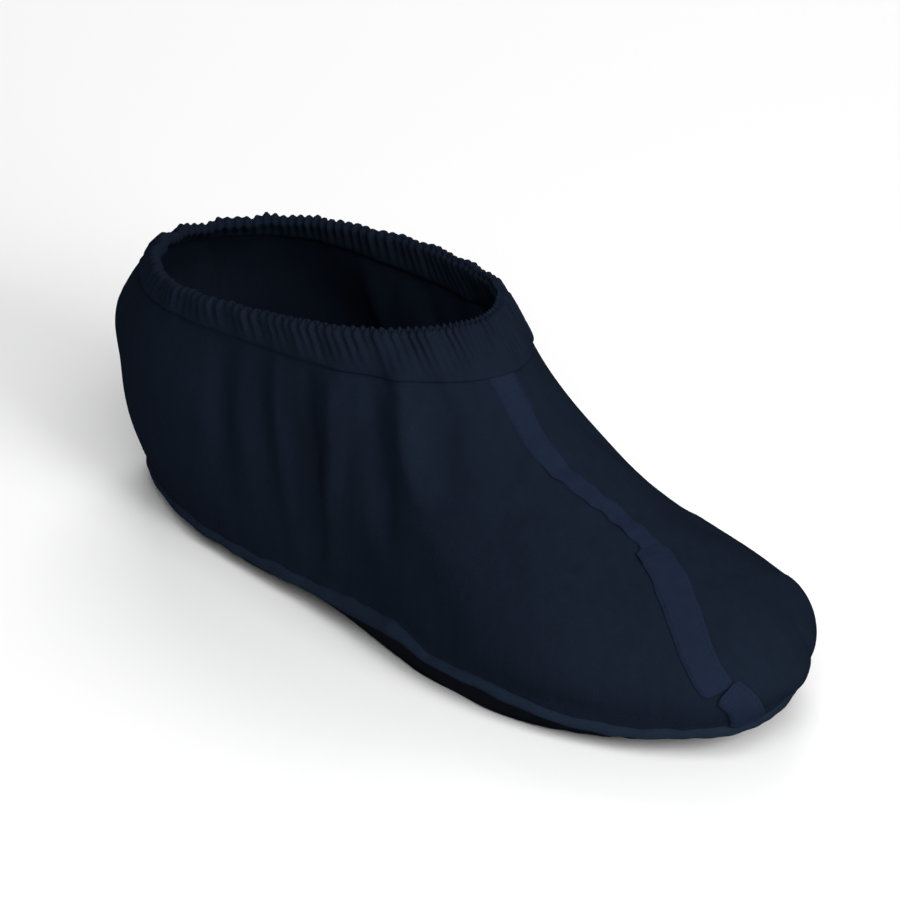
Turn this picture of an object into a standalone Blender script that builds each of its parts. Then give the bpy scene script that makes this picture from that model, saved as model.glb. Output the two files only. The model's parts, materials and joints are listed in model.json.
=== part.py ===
"""A reusable cloth shoe cover for the left foot, worn over a shoe.

The upper is one sewn shell, open at the collar and underneath. A soft tray sole closes it below. A bound
seam runs round the joint of the two, a tape covers the seam over the instep, and an elastic binding is
folded over the collar.

Metres, +Z up, +X towards the toe, +Y towards the little toe. The cover stands on z = 0.
"""

import bmesh
import bpy
import numpy as np

# Driving sizes
LENGTH = 0.320  # back of the heel bulge to the tip of the toe
BALL_WIDTH = 0.101  # widest place, across the ball of the foot
COLLAR_HEIGHT = 0.120  # collar above the floor, at its front
ARCH_RISE = 0.002  # lift of the sole under the waist of the foot
ARCH_FROM, ARCH_TO = 0.24, 0.58  # where the arch starts and ends, as shares of LENGTH
TOE_SPRING = 0.008  # lift of the sole at the toe
SPRING_FROM, SPRING_TO = 0.69, 0.94  # where the toe spring starts, and where it reaches that lift

# Thicknesses and widths of the pieces
CLOTH = 0.0010  # wall of the upper
SOLE_WALL = 0.0018  # turned-up edge of the sole
SOLE_PLATE = 0.0026  # tread of the sole
SOLE_ROUND = 0.0020  # rounding between the tread and the turned-up edge
TAPE_WIDTH = 0.012
TAPE_THICK = 0.0008
SEAM_BEAD = 0.0021  # how far the bound seam stands off the cover
COLLAR_BAND = 0.0014  # thickness of the folded elastic binding
GAP = 0.0003  # between pieces that meet

# One row for each loop round the cover, from the floor to the collar. "back" and "front" are where the loop
# starts at the heel and ends at the toe, as shares of LENGTH. "back_up" and "front_up" are its heights there,
# as shares of COLLAR_HEIGHT. The half-widths, at the STATIONS of the loop, are shares of half BALL_WIDTH.
# "turn" is the share of the foot's left-hand curve that the loop follows, and "lift" its share of the sole's
# lift. "at" is its place between the sole seam (0) and the collar (1).
COLUMNS = ("back", "back_up", "front", "front_up", "heel", "waist", "ball", "toe", "turn", "lift", "at")
LOOPS = {
    "floor": (0.060, 0.017, 0.947, 0.017, 0.49, 0.74, 0.86, 0.66, 1.0, 1.0, -0.070),
    "seam": (0.036, 0.085, 0.966, 0.085, 0.57, 0.78, 0.92, 0.71, 1.0, 0.7, 0.000),
    "side": (0.007, 0.260, 0.992, 0.220, 0.69, 0.76, 1.00, 0.75, 1.0, 0.3, 0.150),
    "shoulder": (0.001, 0.405, 0.955, 0.365, 0.70, 0.76, 0.92, 0.66, 0.8, 0.1, 0.300),
    "vamp": (0.000, 0.525, 0.853, 0.485, 0.69, 0.75, 0.76, 0.48, 0.5, 0.0, 0.470),
    "instep": (0.018, 0.665, 0.676, 0.696, 0.62, 0.75, 0.71, 0.45, 0.2, 0.0, 0.740),
    "collar": (0.062, 0.790, 0.556, 1.000, 0.48, 0.75, 0.67, 0.40, 0.0, 0.0, 1.000),
}
STATIONS = (0.0, 0.10, 0.42, 0.72, 0.92, 1.0)  # shares of a loop's own length, from heel to toe
ROUND = (0.0, 0.066, 0.205, 0.340, 0.434, 0.5)  # the same places as shares of the way round
TURN = (0.0032, 0.0038, 0.0008, -0.0020, 0.0065, 0.0)  # sideways curve of the foot's middle at the stations

# The tape's path: heights on the scale of the "at" column, and how far it wanders there towards the big toe,
# in shares of the way round
TAPE_AT = (0.0, 0.13, 0.24, 0.38, 0.53, 0.71, 0.88, 1.0)
TAPE_VEER = (0.008, 0.023, 0.033, 0.028, 0.016, 0.021, 0.016, 0.013)

# Where the pieces end, on the scale of the "at" column
SEAM_SPLIT = 0.0011
BEAD_LOW, BEAD_HIGH = -0.018, 0.034
BEAD_EDGE = 0.12  # where the bead's round section is cut at its edges, as a share of its half turn
COLLAR_BAND_LOW = 0.915

# Facets
AROUND = 72
CROWDING = 0.35  # how much closer the facets lie at the heel and the toe
UPPER_ROWS = 22
WALL_RINGS = 4
BEAD_RINGS = 5
BAND_RINGS = 3
ACROSS_SOLE = 6
ACROSS_TAPE = 4
TINY = 0.001  # step along the cover's two directions, for its slopes
SMOOTH_BELOW = np.radians(40)  # flatter edges than this are shaded smooth


def column(name):
    """One column of LOOPS, from the floor to the collar."""
    return np.array([row[COLUMNS.index(name)] for row in LOOPS.values()])


def smooth_curve(knots, values, at):
    """A natural cubic spline through values at knots, read at the places in at."""
    knots, values, at = np.asarray(knots), np.asarray(values), np.asarray(at)
    count, step = len(knots), np.diff(knots)
    matrix, bend = np.eye(count), np.zeros(values.shape)
    for i in range(1, count - 1):
        matrix[i, i - 1 : i + 2] = step[i - 1], 2 * (step[i - 1] + step[i]), step[i]
        bend[i] = (values[i + 1] - values[i]) / step[i] - (values[i] - values[i - 1]) / step[i - 1]
    bend = np.linalg.solve(matrix, 6 * bend.reshape(count, -1)).reshape(values.shape)
    i = np.clip(np.searchsorted(knots, at) - 1, 0, count - 2)
    span = step[i].reshape((-1,) + (1,) * (values.ndim - 1))
    left = (knots[i + 1] - at).reshape(span.shape) / span
    right = 1 - left
    curved = (left**3 - left) * bend[i] + (right**3 - right) * bend[i + 1]
    return left * values[i] + right * values[i + 1] + curved * span**2 / 6


def sole_lift(x):
    """Height of the underside above the floor: flat at heel and forefoot, an arch between, a toe spring."""
    share = np.asarray(x) / LENGTH
    arch = np.clip((share - ARCH_FROM) / (ARCH_TO - ARCH_FROM), 0, 1)
    toe = np.maximum((share - SPRING_FROM) / (SPRING_TO - SPRING_FROM), 0)
    return ARCH_RISE * np.sin(np.pi * arch) ** 2 + TOE_SPRING * toe**2


def loop_points(row, around):
    """Points of one loop at shares of the way round: heel 0, little-toe side, toe 0.5, big-toe side."""
    size = dict(zip(COLUMNS, row))
    along = np.array(STATIONS)
    half = np.array([0, size["heel"], size["waist"], size["ball"], size["toe"], 0]) * BALL_WIDTH / 2
    x = LENGTH * (size["back"] + along * (size["front"] - size["back"]))
    z = COLLAR_HEIGHT * (size["back_up"] + along * (size["front_up"] - size["back_up"]))
    middle = np.array(TURN) * size["turn"]
    outer_side = np.stack([x, middle + half, z], axis=1)
    inner_side = np.stack([x, middle - half, z], axis=1)[-2:0:-1]
    once_round = np.concatenate([outer_side, inner_side])
    knots = np.concatenate([ROUND, 1 - np.array(ROUND[-2:0:-1])])
    wrapped = np.concatenate([knots - 1, knots, knots + 1])
    points = smooth_curve(wrapped, np.concatenate([once_round] * 3), np.mod(around, 1.0))
    points[:, 2] += size["lift"] * sole_lift(points[:, 0])
    return points


def skin(around, up):
    """Points of the cover's outer face, paired from two lists: shares of the way round, and heights."""
    loops = np.stack([loop_points(row, around) for row in LOOPS.values()])
    return np.stack([smooth_curve(column("at"), loops[:, i], [v])[0] for i, v in enumerate(up)])


def cover(around, up, out=0.0, rise=0.0):
    """Points of the cover's face moved out along its normal and up along its slope, paired from two lists."""
    around, up = np.broadcast_arrays(np.asarray(around, float), np.asarray(up, float))
    along_loop = skin(around + TINY, up) - skin(around - TINY, up)
    uphill = skin(around, up + TINY) - skin(around, up - TINY)
    normal = np.cross(uphill, along_loop)
    normal /= np.linalg.norm(normal, axis=1, keepdims=True)
    uphill /= np.linalg.norm(uphill, axis=1, keepdims=True)
    return skin(around, up) + out * normal + rise * uphill


def facets_around():
    """Shares of the way round at the facets' corners, closer together at heel and toe."""
    even = np.arange(AROUND) / AROUND
    return even - CROWDING * np.sin(4 * np.pi * even) / (4 * np.pi)


def upper_rows():
    """Heights of the upper's rows of facets, from the sole seam to the collar."""
    return np.linspace(SEAM_SPLIT, 1.0, UPPER_ROWS + 1)


def material(name, colour, roughness):
    made = bpy.data.materials.new(name)
    made.use_nodes = True
    shader = made.node_tree.nodes["Principled BSDF"]
    shader.inputs["Base Color"].default_value = (*colour, 1.0)
    shader.inputs["Roughness"].default_value = roughness
    made.diffuse_color = (*colour, 1.0)
    return made


def piece(name, mesh, finish, holder):
    """Turns a bmesh into a named object that hangs on the holder."""
    bmesh.ops.recalc_face_normals(mesh, faces=mesh.faces)
    data = bpy.data.meshes.new(name)
    mesh.to_mesh(data)
    mesh.free()
    data.shade_smooth()
    data.set_sharp_from_angle(angle=SMOOTH_BELOW)
    data.materials.append(finish)
    made = bpy.data.objects.new(name, data)
    bpy.context.scene.collection.objects.link(made)
    made.parent = holder
    return made


def add_rings(mesh, rings, close_last):
    """Corners in rings, each ring joined to the next; the last ring joins the first if close_last."""
    corners = [[mesh.verts.new(point) for point in ring] for ring in rings]
    pairs = list(zip(corners, corners[1:]))
    if close_last:
        pairs.append((corners[-1], corners[0]))
    for low, high in pairs:
        for i in range(len(low)):
            j = (i + 1) % len(low)
            mesh.faces.new((low[i], low[j], high[j], high[i]))
    return corners


def fill_across(mesh, ring, height):
    """Closes a loop of the sole with rungs from side to side, at the height that a function of x gives."""
    half = len(ring) // 2
    rungs = []
    for i in range(1, half):
        start, end = ring[i], ring[-i]
        rung = [start]
        for k in range(1, ACROSS_SOLE):
            spot = start.co.lerp(end.co, k / ACROSS_SOLE)
            spot.z = height(spot.x)
            rung.append(mesh.verts.new(spot))
        rungs.append(rung + [end])
    for first, second in zip(rungs, rungs[1:]):
        for k in range(ACROSS_SOLE):
            mesh.faces.new((first[k], first[k + 1], second[k + 1], second[k]))
    for tip, rung in ((ring[0], rungs[0]), (ring[half], rungs[-1])):
        for k in range(ACROSS_SOLE):
            mesh.faces.new((tip, rung[k], rung[k + 1]))


def drawn_in(ring, distance):
    """A loop moved inwards in plan, square to its own line."""
    ahead = np.roll(ring, -1, axis=0) - np.roll(ring, 1, axis=0)
    inward = np.stack([ahead[:, 1], -ahead[:, 0], np.zeros(len(ring))], axis=1)
    return ring + distance * inward / np.linalg.norm(inward, axis=1, keepdims=True)


def make_upper(finish, holder):
    """The sewn shell: outer face up to the collar, and back down the inner face."""
    around = facets_around()
    rows = upper_rows()
    outer = [cover(around, up) for up in rows]
    inner = [cover(around, up, -CLOTH) for up in rows[::-1]]
    mesh = bmesh.new()
    add_rings(mesh, outer + inner, close_last=True)
    return piece("upper", mesh, finish, holder)


def make_sole(finish, holder):
    """A soft tray: the tread, its rounded edge, and a turned-up wall that meets the upper at the seam."""
    around = facets_around()
    floor = column("at")[0]
    wall = np.linspace(floor, -SEAM_SPLIT, WALL_RINGS)
    outer = [cover(around, up) for up in wall]
    inner = [cover(around, up, -SOLE_WALL) for up in wall[:0:-1]]
    tread_edge = drawn_in(outer[0], SOLE_ROUND)
    tread_edge[:, 2] = sole_lift(tread_edge[:, 0])
    inside_edge = drawn_in(outer[0], SOLE_WALL + SOLE_ROUND)
    inside_edge[:, 2] = sole_lift(inside_edge[:, 0]) + SOLE_PLATE
    mesh = bmesh.new()
    corners = add_rings(mesh, [tread_edge, *outer, *inner, inside_edge], close_last=False)
    fill_across(mesh, corners[0], sole_lift)
    fill_across(mesh, corners[-1], lambda x: sole_lift(x) + SOLE_PLATE)
    return piece("sole", mesh, finish, holder)


def make_seam_binding(finish, holder):
    """The bound seam that stands out round the joint of upper and sole, as a flat bead."""
    around = facets_around()
    heights = np.linspace(BEAD_LOW, BEAD_HIGH, BEAD_RINGS)
    swell = np.sin(np.pi * np.linspace(BEAD_EDGE, 1 - BEAD_EDGE, BEAD_RINGS))
    face = [cover(around, up, GAP + (SEAM_BEAD - GAP) * out) for up, out in zip(heights, swell)]
    back = [cover(around, up, GAP) for up in (BEAD_HIGH, -SEAM_SPLIT, BEAD_LOW)]
    mesh = bmesh.new()
    add_rings(mesh, face + back, close_last=True)
    return piece("seam_binding", mesh, finish, holder)


def make_collar_binding(finish, holder):
    """The elastic binding, folded over the collar's edge from the outside to the inside."""
    around = facets_around()
    rows = np.linspace(COLLAR_BAND_LOW, 1.0, BAND_RINGS)
    slot = CLOTH / 2 + GAP  # half the space that the fold leaves for the cloth
    half = slot + COLLAR_BAND
    shoulder = half * np.sqrt(0.5)

    def fold(up, offset, rise=0.0):
        return cover(around, up, offset - CLOTH / 2, rise)

    rings = [fold(up, half) for up in rows]
    rings += [fold(1.0, shoulder, shoulder), fold(1.0, 0.0, half), fold(1.0, -shoulder, shoulder)]
    rings += [fold(up, -half) for up in rows[::-1]]
    rings += [fold(rows[0], -slot), fold(1.0, -slot, GAP), fold(1.0, slot, GAP), fold(rows[0], slot)]
    mesh = bmesh.new()
    add_rings(mesh, rings, close_last=True)
    return piece("collar_binding", mesh, finish, holder)


def make_instep_tape(finish, holder):
    """The flat tape sewn over the middle seam, from the collar down the instep to the toe.

    Its rows are the upper's, between the two bindings, so that their facets lie parallel.
    """
    rows = upper_rows()[-3:0:-1]
    middle = 0.5 + smooth_curve(TAPE_AT, TAPE_VEER, rows)
    speed = np.linalg.norm(skin(middle + TINY, rows) - skin(middle - TINY, rows), axis=1) / (2 * TINY)
    across = np.linspace(-0.5, 0.5, ACROSS_TAPE + 1)
    rings = []
    for up, centre, pace in zip(rows, middle, speed):
        places = centre + across * TAPE_WIDTH / pace
        face = cover(places, up, GAP + TAPE_THICK)
        back = cover(places[::-1], up, GAP)
        rings.append(np.concatenate([face, back]))
    mesh = bmesh.new()
    corners = add_rings(mesh, rings, close_last=False)
    mesh.faces.new(corners[0])
    mesh.faces.new(corners[-1])
    return piece("instep_tape", mesh, finish, holder)


def centre_on_floor(holder, pieces):
    """Moves the holder so that the cover's box is centred on the origin and rests on z = 0."""
    corners = np.array([vertex.co for made in pieces for vertex in made.data.vertices])
    low, high = corners.min(axis=0), corners.max(axis=0)
    holder.location = (-(low[0] + high[0]) / 2, -(low[1] + high[1]) / 2, -low[2])


def main():
    for old in list(bpy.data.objects):
        bpy.data.objects.remove(old)
    holder = bpy.data.objects.new("shoe_cover", None)
    bpy.context.scene.collection.objects.link(holder)
    navy_cloth = material("navy_cloth", (0.010, 0.014, 0.026), 0.75)
    navy_tape = material("navy_tape", (0.016, 0.021, 0.042), 0.70)
    dark_sole = material("dark_sole", (0.006, 0.008, 0.012), 0.60)
    pieces = [
        make_upper(navy_cloth, holder),
        make_sole(dark_sole, holder),
        make_seam_binding(navy_cloth, holder),
        make_collar_binding(navy_cloth, holder),
        make_instep_tape(navy_tape, holder),
    ]
    centre_on_floor(holder, pieces)


main()
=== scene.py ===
# %% [markdown]
# # A reusable shoe cover, from plain solids to sewn cloth
#
# A shoe cover is a bag for a shoe. It is cut from navy cloth, sewn to a soft sole and pulled in round the
# ankle by an elastic binding. The plain solids give its true size. Each step here takes one of them and
# adds what sewing and wearing do to it: folds, gathers, puckers, stitches and weave.

# %% The frame and its sizes
import json
import math
from contextlib import contextmanager
import bpy
import numpy as np
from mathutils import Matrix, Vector, kdtree, noise
from mathutils.bvhtree import BVHTree

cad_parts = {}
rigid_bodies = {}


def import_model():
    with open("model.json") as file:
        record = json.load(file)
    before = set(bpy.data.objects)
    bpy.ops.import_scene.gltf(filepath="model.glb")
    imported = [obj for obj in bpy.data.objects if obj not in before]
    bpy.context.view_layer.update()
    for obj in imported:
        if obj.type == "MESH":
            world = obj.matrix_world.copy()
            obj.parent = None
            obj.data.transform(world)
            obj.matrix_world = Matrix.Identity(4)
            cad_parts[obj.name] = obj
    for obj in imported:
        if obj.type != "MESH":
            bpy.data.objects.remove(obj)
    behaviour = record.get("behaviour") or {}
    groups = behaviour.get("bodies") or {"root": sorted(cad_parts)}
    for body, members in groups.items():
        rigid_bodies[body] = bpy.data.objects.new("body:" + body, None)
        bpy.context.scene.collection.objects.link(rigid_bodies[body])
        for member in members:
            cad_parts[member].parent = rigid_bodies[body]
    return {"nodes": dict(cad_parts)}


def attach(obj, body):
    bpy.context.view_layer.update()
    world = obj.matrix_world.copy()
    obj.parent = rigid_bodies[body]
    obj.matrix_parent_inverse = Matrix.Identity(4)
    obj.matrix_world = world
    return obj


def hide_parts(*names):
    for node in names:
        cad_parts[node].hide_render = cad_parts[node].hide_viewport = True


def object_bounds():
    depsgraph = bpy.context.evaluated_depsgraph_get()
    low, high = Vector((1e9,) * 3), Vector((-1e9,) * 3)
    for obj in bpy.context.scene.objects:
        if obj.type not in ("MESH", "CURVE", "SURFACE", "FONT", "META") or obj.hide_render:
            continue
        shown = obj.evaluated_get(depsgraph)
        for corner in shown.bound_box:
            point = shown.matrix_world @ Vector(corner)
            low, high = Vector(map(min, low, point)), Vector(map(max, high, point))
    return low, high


MM = 0.001
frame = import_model()
cad_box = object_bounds()
print("frame", [[round(float(v) / MM, 1) for v in corner] for corner in cad_box], "mm")

# %% [markdown]
# ## The camera
#
# The photograph was taken from far away with a long lens, a little above the shoe and from the front of its
# inner side. A camera could be pushed about by eye until the picture looks right. Two angles and a distance
# from the middle of the shoe are easier to correct, and the narrow angle of a long lens keeps the toe from
# looking larger than the heel.

# %% Camera
# Angles are in degrees and lengths in metres, but the sensor is in millimetres.
CAMERA_AZIMUTH = 44.15
CAMERA_ELEVATION = 29.85
CAMERA_DISTANCE = 3.37
PICTURE_WIDTH = 0.318
SENSOR = 36.0


def direction(azimuth, elevation):
    """The way from the shoe to a place that far round it and above the floor, in degrees."""
    turn = math.radians(azimuth)
    tilt = math.radians(elevation)
    return Vector((math.sin(turn) * math.cos(tilt), -math.cos(turn) * math.cos(tilt), math.sin(tilt)))


middle = (Vector(cad_box[0]) + Vector(cad_box[1])) / 2
towards = direction(CAMERA_AZIMUTH, CAMERA_ELEVATION)
bpy.ops.object.camera_add(
    location=middle + towards * CAMERA_DISTANCE, rotation=towards.to_track_quat("Z", "Y").to_euler()
)
camera = bpy.context.object
camera.data.sensor_width = SENSOR
camera.data.lens = SENSOR * CAMERA_DISTANCE / PICTURE_WIDTH
scene = bpy.context.scene
scene.camera = camera
scene.view_settings.view_transform = "Standard"
print("camera", [round(v, 3) for v in camera.location], "lens", round(camera.data.lens), "mm")

# %% [markdown]
# ## The floor and the lights
#
# Cloth this dark shows its shape only by light that rakes along it. So the key light stands low in front of
# the toe, where each fold of the inner side gets a lit flank and a shaded one, and the heel stays in shade.
# A large fill softens that, and a light from behind keeps the heel's outline. Area lights are chosen,
# because a large lamp gives soft shadows, and the floor is plain and pale, so that the navy stands out.

# %% Floor and lights
FLOOR_SIZE = 8.0
STUDIO_GLOW = 0.22
# The lights look at the toe, at these shares of the way to the frame's far corner.
LIGHT_AIM = (0.6, 0.0, 0.3)
# Each light: azimuth, elevation, distance from there, size, power.
LIGHTS = {
    "key": (80.0, 30.0, 1.2, 0.5, 12.0),
    "fill": (48.0, 50.0, 2.0, 1.4, 28.0),
    "rim": (225.0, 42.0, 1.5, 0.9, 9.0),
}


def linear(hex_colour):
    """An sRGB colour such as "1d2331" as linear red, green, blue and full opacity."""
    shares = [int(hex_colour[k:k + 2], 16) / 255 for k in (0, 2, 4)]
    return [s / 12.92 if s <= 0.04045 else ((s + 0.055) / 1.055) ** 2.4 for s in shares] + [1.0]


bpy.ops.mesh.primitive_plane_add(size=FLOOR_SIZE)
floor = bpy.context.object
floor.name = "floor"

aim = Vector([share * far for share, far in zip(LIGHT_AIM, cad_box[1])])
for name, (azimuth, elevation, distance, size, power) in LIGHTS.items():
    way = direction(azimuth, elevation)
    bpy.ops.object.light_add(
        type="AREA", location=aim + way * distance, rotation=way.to_track_quat("Z", "Y").to_euler()
    )
    lamp = bpy.context.object
    lamp.name = name
    lamp.data.size = size
    lamp.data.energy = power
world = bpy.data.worlds.new("studio")
world.use_nodes = True
backdrop = world.node_tree.nodes["Background"]
backdrop.inputs["Color"].default_value = linear("ffffff")
backdrop.inputs["Strength"].default_value = STUDIO_GLOW
scene.world = world
print("lights", list(LIGHTS), "aimed at", [round(v / MM) for v in aim], "mm")

# %% [markdown]
# ## The outer wall of the plain upper
#
# A sewn upper starts as flat cloth that is wrapped round a last, the maker's wooden foot, and joined behind
# the heel. The plain upper is the last here. Its mesh is loose triangles on both sides of a wall, so a copy
# is merged first, and only the faces that look away from the middle of the foot are kept. They could be
# picked by hand in a window, but a rule picks the same ones every time.

# %% The outer wall
MERGE = 0.01 * MM
# The faces on the rims of the upper's wall are narrower than this.
RIM_WIDEST = 1.5 * MM
# A line through the middle of the foot, from heel to toe in metres: the outer wall looks away from it.
CORE_REACH = (-0.110, 0.125)
CORE_PLACE = (0.003, 0.036)


def only(piece):
    """Makes a piece the only one that is selected and the active one."""
    bpy.ops.object.select_all(action="DESELECT")
    piece.select_set(True)
    bpy.context.view_layer.objects.active = piece


@contextmanager
def edit_mode(piece):
    """Edit mode with all of a piece selected, until the block ends."""
    only(piece)
    bpy.ops.object.mode_set(mode="EDIT")
    bpy.ops.mesh.select_all(action="SELECT")
    yield
    bpy.ops.object.mode_set(mode="OBJECT")


def corners(piece):
    """The places of a piece's corners as rows of x, y, z."""
    places = np.zeros(len(piece.data.vertices) * 3)
    piece.data.vertices.foreach_get("co", places)
    return places.reshape(-1, 3)


def copy_of(node_name, name):
    """A copy of a plain solid with its corners merged, free of the frame."""
    only(frame["nodes"][node_name])
    bpy.ops.object.duplicate()
    piece = bpy.context.object
    bpy.ops.object.parent_clear(type="CLEAR_KEEP_TRANSFORM")
    for key in list(piece.keys()):
        del piece[key]
    piece.name = name
    piece.data.materials.clear()
    with edit_mode(piece):
        bpy.ops.mesh.remove_doubles(threshold=MERGE)
    return piece


def keep_faces(piece, wanted):
    """Deletes the faces of a piece that aren't wanted."""
    with edit_mode(piece):
        bpy.ops.mesh.select_all(action="DESELECT")
    piece.data.polygons.foreach_set("select", ~np.asarray(wanted))
    bpy.ops.object.mode_set(mode="EDIT")
    bpy.ops.mesh.select_mode(type="FACE")
    bpy.ops.mesh.delete(type="FACE")
    bpy.ops.object.mode_set(mode="OBJECT")


def row_dot(rows, others):
    """The dot product of each row with the other row beside it."""
    return np.einsum("ij,ij->i", rows, others)


wall = copy_of("upper", "outer_wall")
centres = np.array([face.center[:] for face in wall.data.polygons])
ways = np.array([face.normal[:] for face in wall.data.polygons])
points = corners(wall)
shortest = np.array([
    min(np.linalg.norm(points[a] - points[b]) for a, b in face.edge_keys) for face in wall.data.polygons
])
core = np.tile((0.0, *CORE_PLACE), (len(centres), 1))
core[:, 0] = np.clip(centres[:, 0], *CORE_REACH)
keep_faces(wall, (row_dot(ways, centres - core) > 0) & (shortest > RIM_WIDEST))
print("outer wall", len(wall.data.polygons), "of", len(centres), "faces")

# %% [markdown]
# ## Rings of points
#
# The cloth has to know which way is round the shoe and which way is up it. A mesh has no such order, so the
# wall's points are sorted into rings, from the sole seam up to the collar, each one from the heel by the
# outer side. The lowest edge is the first ring. The points that a ring is joined to, and that no ring has
# yet, are the next one.

# %% Rings up the wall
# The edge at the sole seam lies in this part of the wall's height.
LOWER_PART = 1 / 3


def outer_rings(piece):
    """The rings of points on an open sheet, from its lowest edge up, each from the heel towards +Y."""
    places = corners(piece)
    beside = [set() for _ in places]
    for edge in piece.data.edges:
        a, b = edge.vertices
        beside[a].add(b)
        beside[b].add(a)
    faces_at = {}
    for face in piece.data.polygons:
        for key in face.edge_keys:
            faces_at[key] = faces_at.get(key, 0) + 1
    rim = {v for key, count in faces_at.items() if count == 1 for v in key}
    low = places[list(rim), 2].min()
    ring = {v for v in rim if places[v, 2] < low + (places[:, 2].max() - low) * LOWER_PART}
    seen = set()
    rings = []
    while ring:
        seen |= ring
        start = min(ring, key=lambda v: places[v, 0])
        order = [start, max(beside[start] & ring, key=lambda v: places[v, 1])]
        while len(order) < len(ring):
            order.append(next(v for v in beside[order[-1]] & ring if v not in order))
        rings.append(places[order])
        ring = {w for v in ring for w in beside[v]} - seen
    return np.array(rings)


rings = outer_rings(wall)
bpy.data.objects.remove(wall)
print("rings", rings.shape[0], "of", rings.shape[1], "points")

# %% [markdown]
# ## A flat grid, wrapped and joined
#
# A flat grid with a corner for each point of the rings is the cloth. It is bent on to the rings, and its
# two ends are merged behind the heel, as a tailor would sew them. It keeps a map of where each corner was
# when it was flat, which a tube shrunk on to the last would not have. Subdividing rounds the cloth and
# would shrink it too, so its corners are first moved out until the rounded cloth passes through the rings.

# %% The sheet of cloth
COLUMNS = 72
ROWS = 22
FINER = 2
FITTING = 4
# A new grid is one metre wide, with its middle at the origin.
GRID_HALF = 0.5


def move_corners(piece, places):
    """Puts a piece's corners at these places."""
    piece.data.vertices.foreach_set("co", np.asarray(places, float).ravel())
    piece.data.update()


def new_grid(name, columns, rows):
    """A flat grid, and how far each of its corners is along it and across it, as shares."""
    bpy.ops.mesh.primitive_grid_add(x_subdivisions=columns, y_subdivisions=rows, size=2 * GRID_HALF)
    piece = bpy.context.object
    piece.name = name
    along, across = corners(piece)[:, :2].T + GRID_HALF
    return piece, along, across


def nearest_step(shares, steps):
    """The number of the step at each share of the way."""
    return np.rint(shares * steps).astype(int)


def smoothed(piece, levels):
    """Rounds a piece by subdividing it, with its corners brought back near their places, and applies that."""
    only(piece)
    bpy.ops.object.modifier_add(type="SUBSURF")
    modifier = piece.modifiers[-1]
    modifier.levels = levels
    modifier.render_levels = levels
    modifier.uv_smooth = "NONE"
    wanted = corners(piece)
    for _ in range(FITTING):
        rounded = corners(piece.evaluated_get(bpy.context.evaluated_depsgraph_get()))
        move_corners(piece, corners(piece) + wanted - rounded[:len(wanted)])
    bpy.ops.object.modifier_apply(modifier=modifier.name)
    bpy.ops.object.shade_smooth()
    miss = np.abs(corners(piece)[:len(wanted)] - wanted).max()
    print(piece.name, "misses its corners by", round(float(miss) / MM, 3), "mm")


cloth, along, across = new_grid("cloth_upper", COLUMNS, ROWS)
move_corners(cloth, rings[nearest_step(across, ROWS), nearest_step(along, COLUMNS) % COLUMNS])
with edit_mode(cloth):
    bpy.ops.mesh.remove_doubles(threshold=MERGE)
    bpy.ops.mesh.flip_normals()
smoothed(cloth, FINER)
print("cloth corners", len(cloth.data.vertices))

# %% [markdown]
# ## Places on the cloth
#
# A tailor speaks of a place on the cloth by how far round it is and how far up. Here around runs from 0 at
# the heel, by the outer side, to 0.5 at the toe and on by the inner side to 1. Up runs from 0 at the sole
# seam to 1 at the collar. Points could be typed in metres, but places follow the shoe: one function turns
# them into points for the tape, the folds and the stitches.

# %% From around and up to a point
FINE_COLUMNS = COLUMNS * 2 ** FINER
FINE_ROWS = ROWS * 2 ** FINER
TOE = 0.5


def corner_normals(piece):
    """The outward directions at a piece's corners."""
    normals = np.zeros(len(piece.data.vertices) * 3)
    piece.data.vertices.foreach_get("normal", normals)
    return normals.reshape(-1, 3)


def flat_places(piece):
    """Around and up at each corner of a piece, from its map."""
    layer = piece.data.uv_layers.active.data
    spots = np.zeros(len(layer) * 2)
    layer.foreach_get("uv", spots)
    owner = np.zeros(len(layer), int)
    piece.data.loops.foreach_get("vertex_index", owner)
    found = np.zeros((len(piece.data.vertices), 2))
    found[owner] = spots.reshape(-1, 2)
    return found


cloth_around, cloth_up = flat_places(cloth).T
at_column = np.rint(cloth_around * FINE_COLUMNS).astype(int) % FINE_COLUMNS
at_row = np.rint(cloth_up * FINE_ROWS).astype(int)
smooth_points = corners(cloth)
smooth_normals = corner_normals(cloth)
point_grid = np.zeros((FINE_ROWS + 1, FINE_COLUMNS, 3))
point_grid[at_row, at_column] = smooth_points


def on_cloth(around, up):
    """Points of the smooth cloth at these places."""
    across = np.asarray(around, float) % 1.0 * FINE_COLUMNS
    high = np.clip(np.asarray(up, float), 0.0, 1.0) * FINE_ROWS
    left = np.floor(across).astype(int)
    under = np.minimum(np.floor(high).astype(int), FINE_ROWS - 1)
    a = (across - left)[..., None]
    b = (high - under)[..., None]
    right = (left + 1) % FINE_COLUMNS
    left = left % FINE_COLUMNS
    low = point_grid[under, left] * (1 - a) + point_grid[under, right] * a
    top = point_grid[under + 1, left] * (1 - a) + point_grid[under + 1, right] * a
    return low * (1 - b) + top * b


for name, up in (("collar over the toe", 1.0), ("seam at the toe", 0.0)):
    print(name, np.round(on_cloth(TOE, up) / MM, 1), "mm")

# %% [markdown]
# ## And from a point back to the cloth
#
# The sole and the collar binding are sewn to the cloth and have to follow it, so the place beside each of
# their corners is looked up. A tree of points finds the cloth's nearest corner without trying them all.
# That alone would give steps, so the place is read on from there along the cloth's two directions.

# %% From a point to around and up
# A point lies at most this many steps of the grid away from its nearest corner.
HALF_STEP = 0.5

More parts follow.
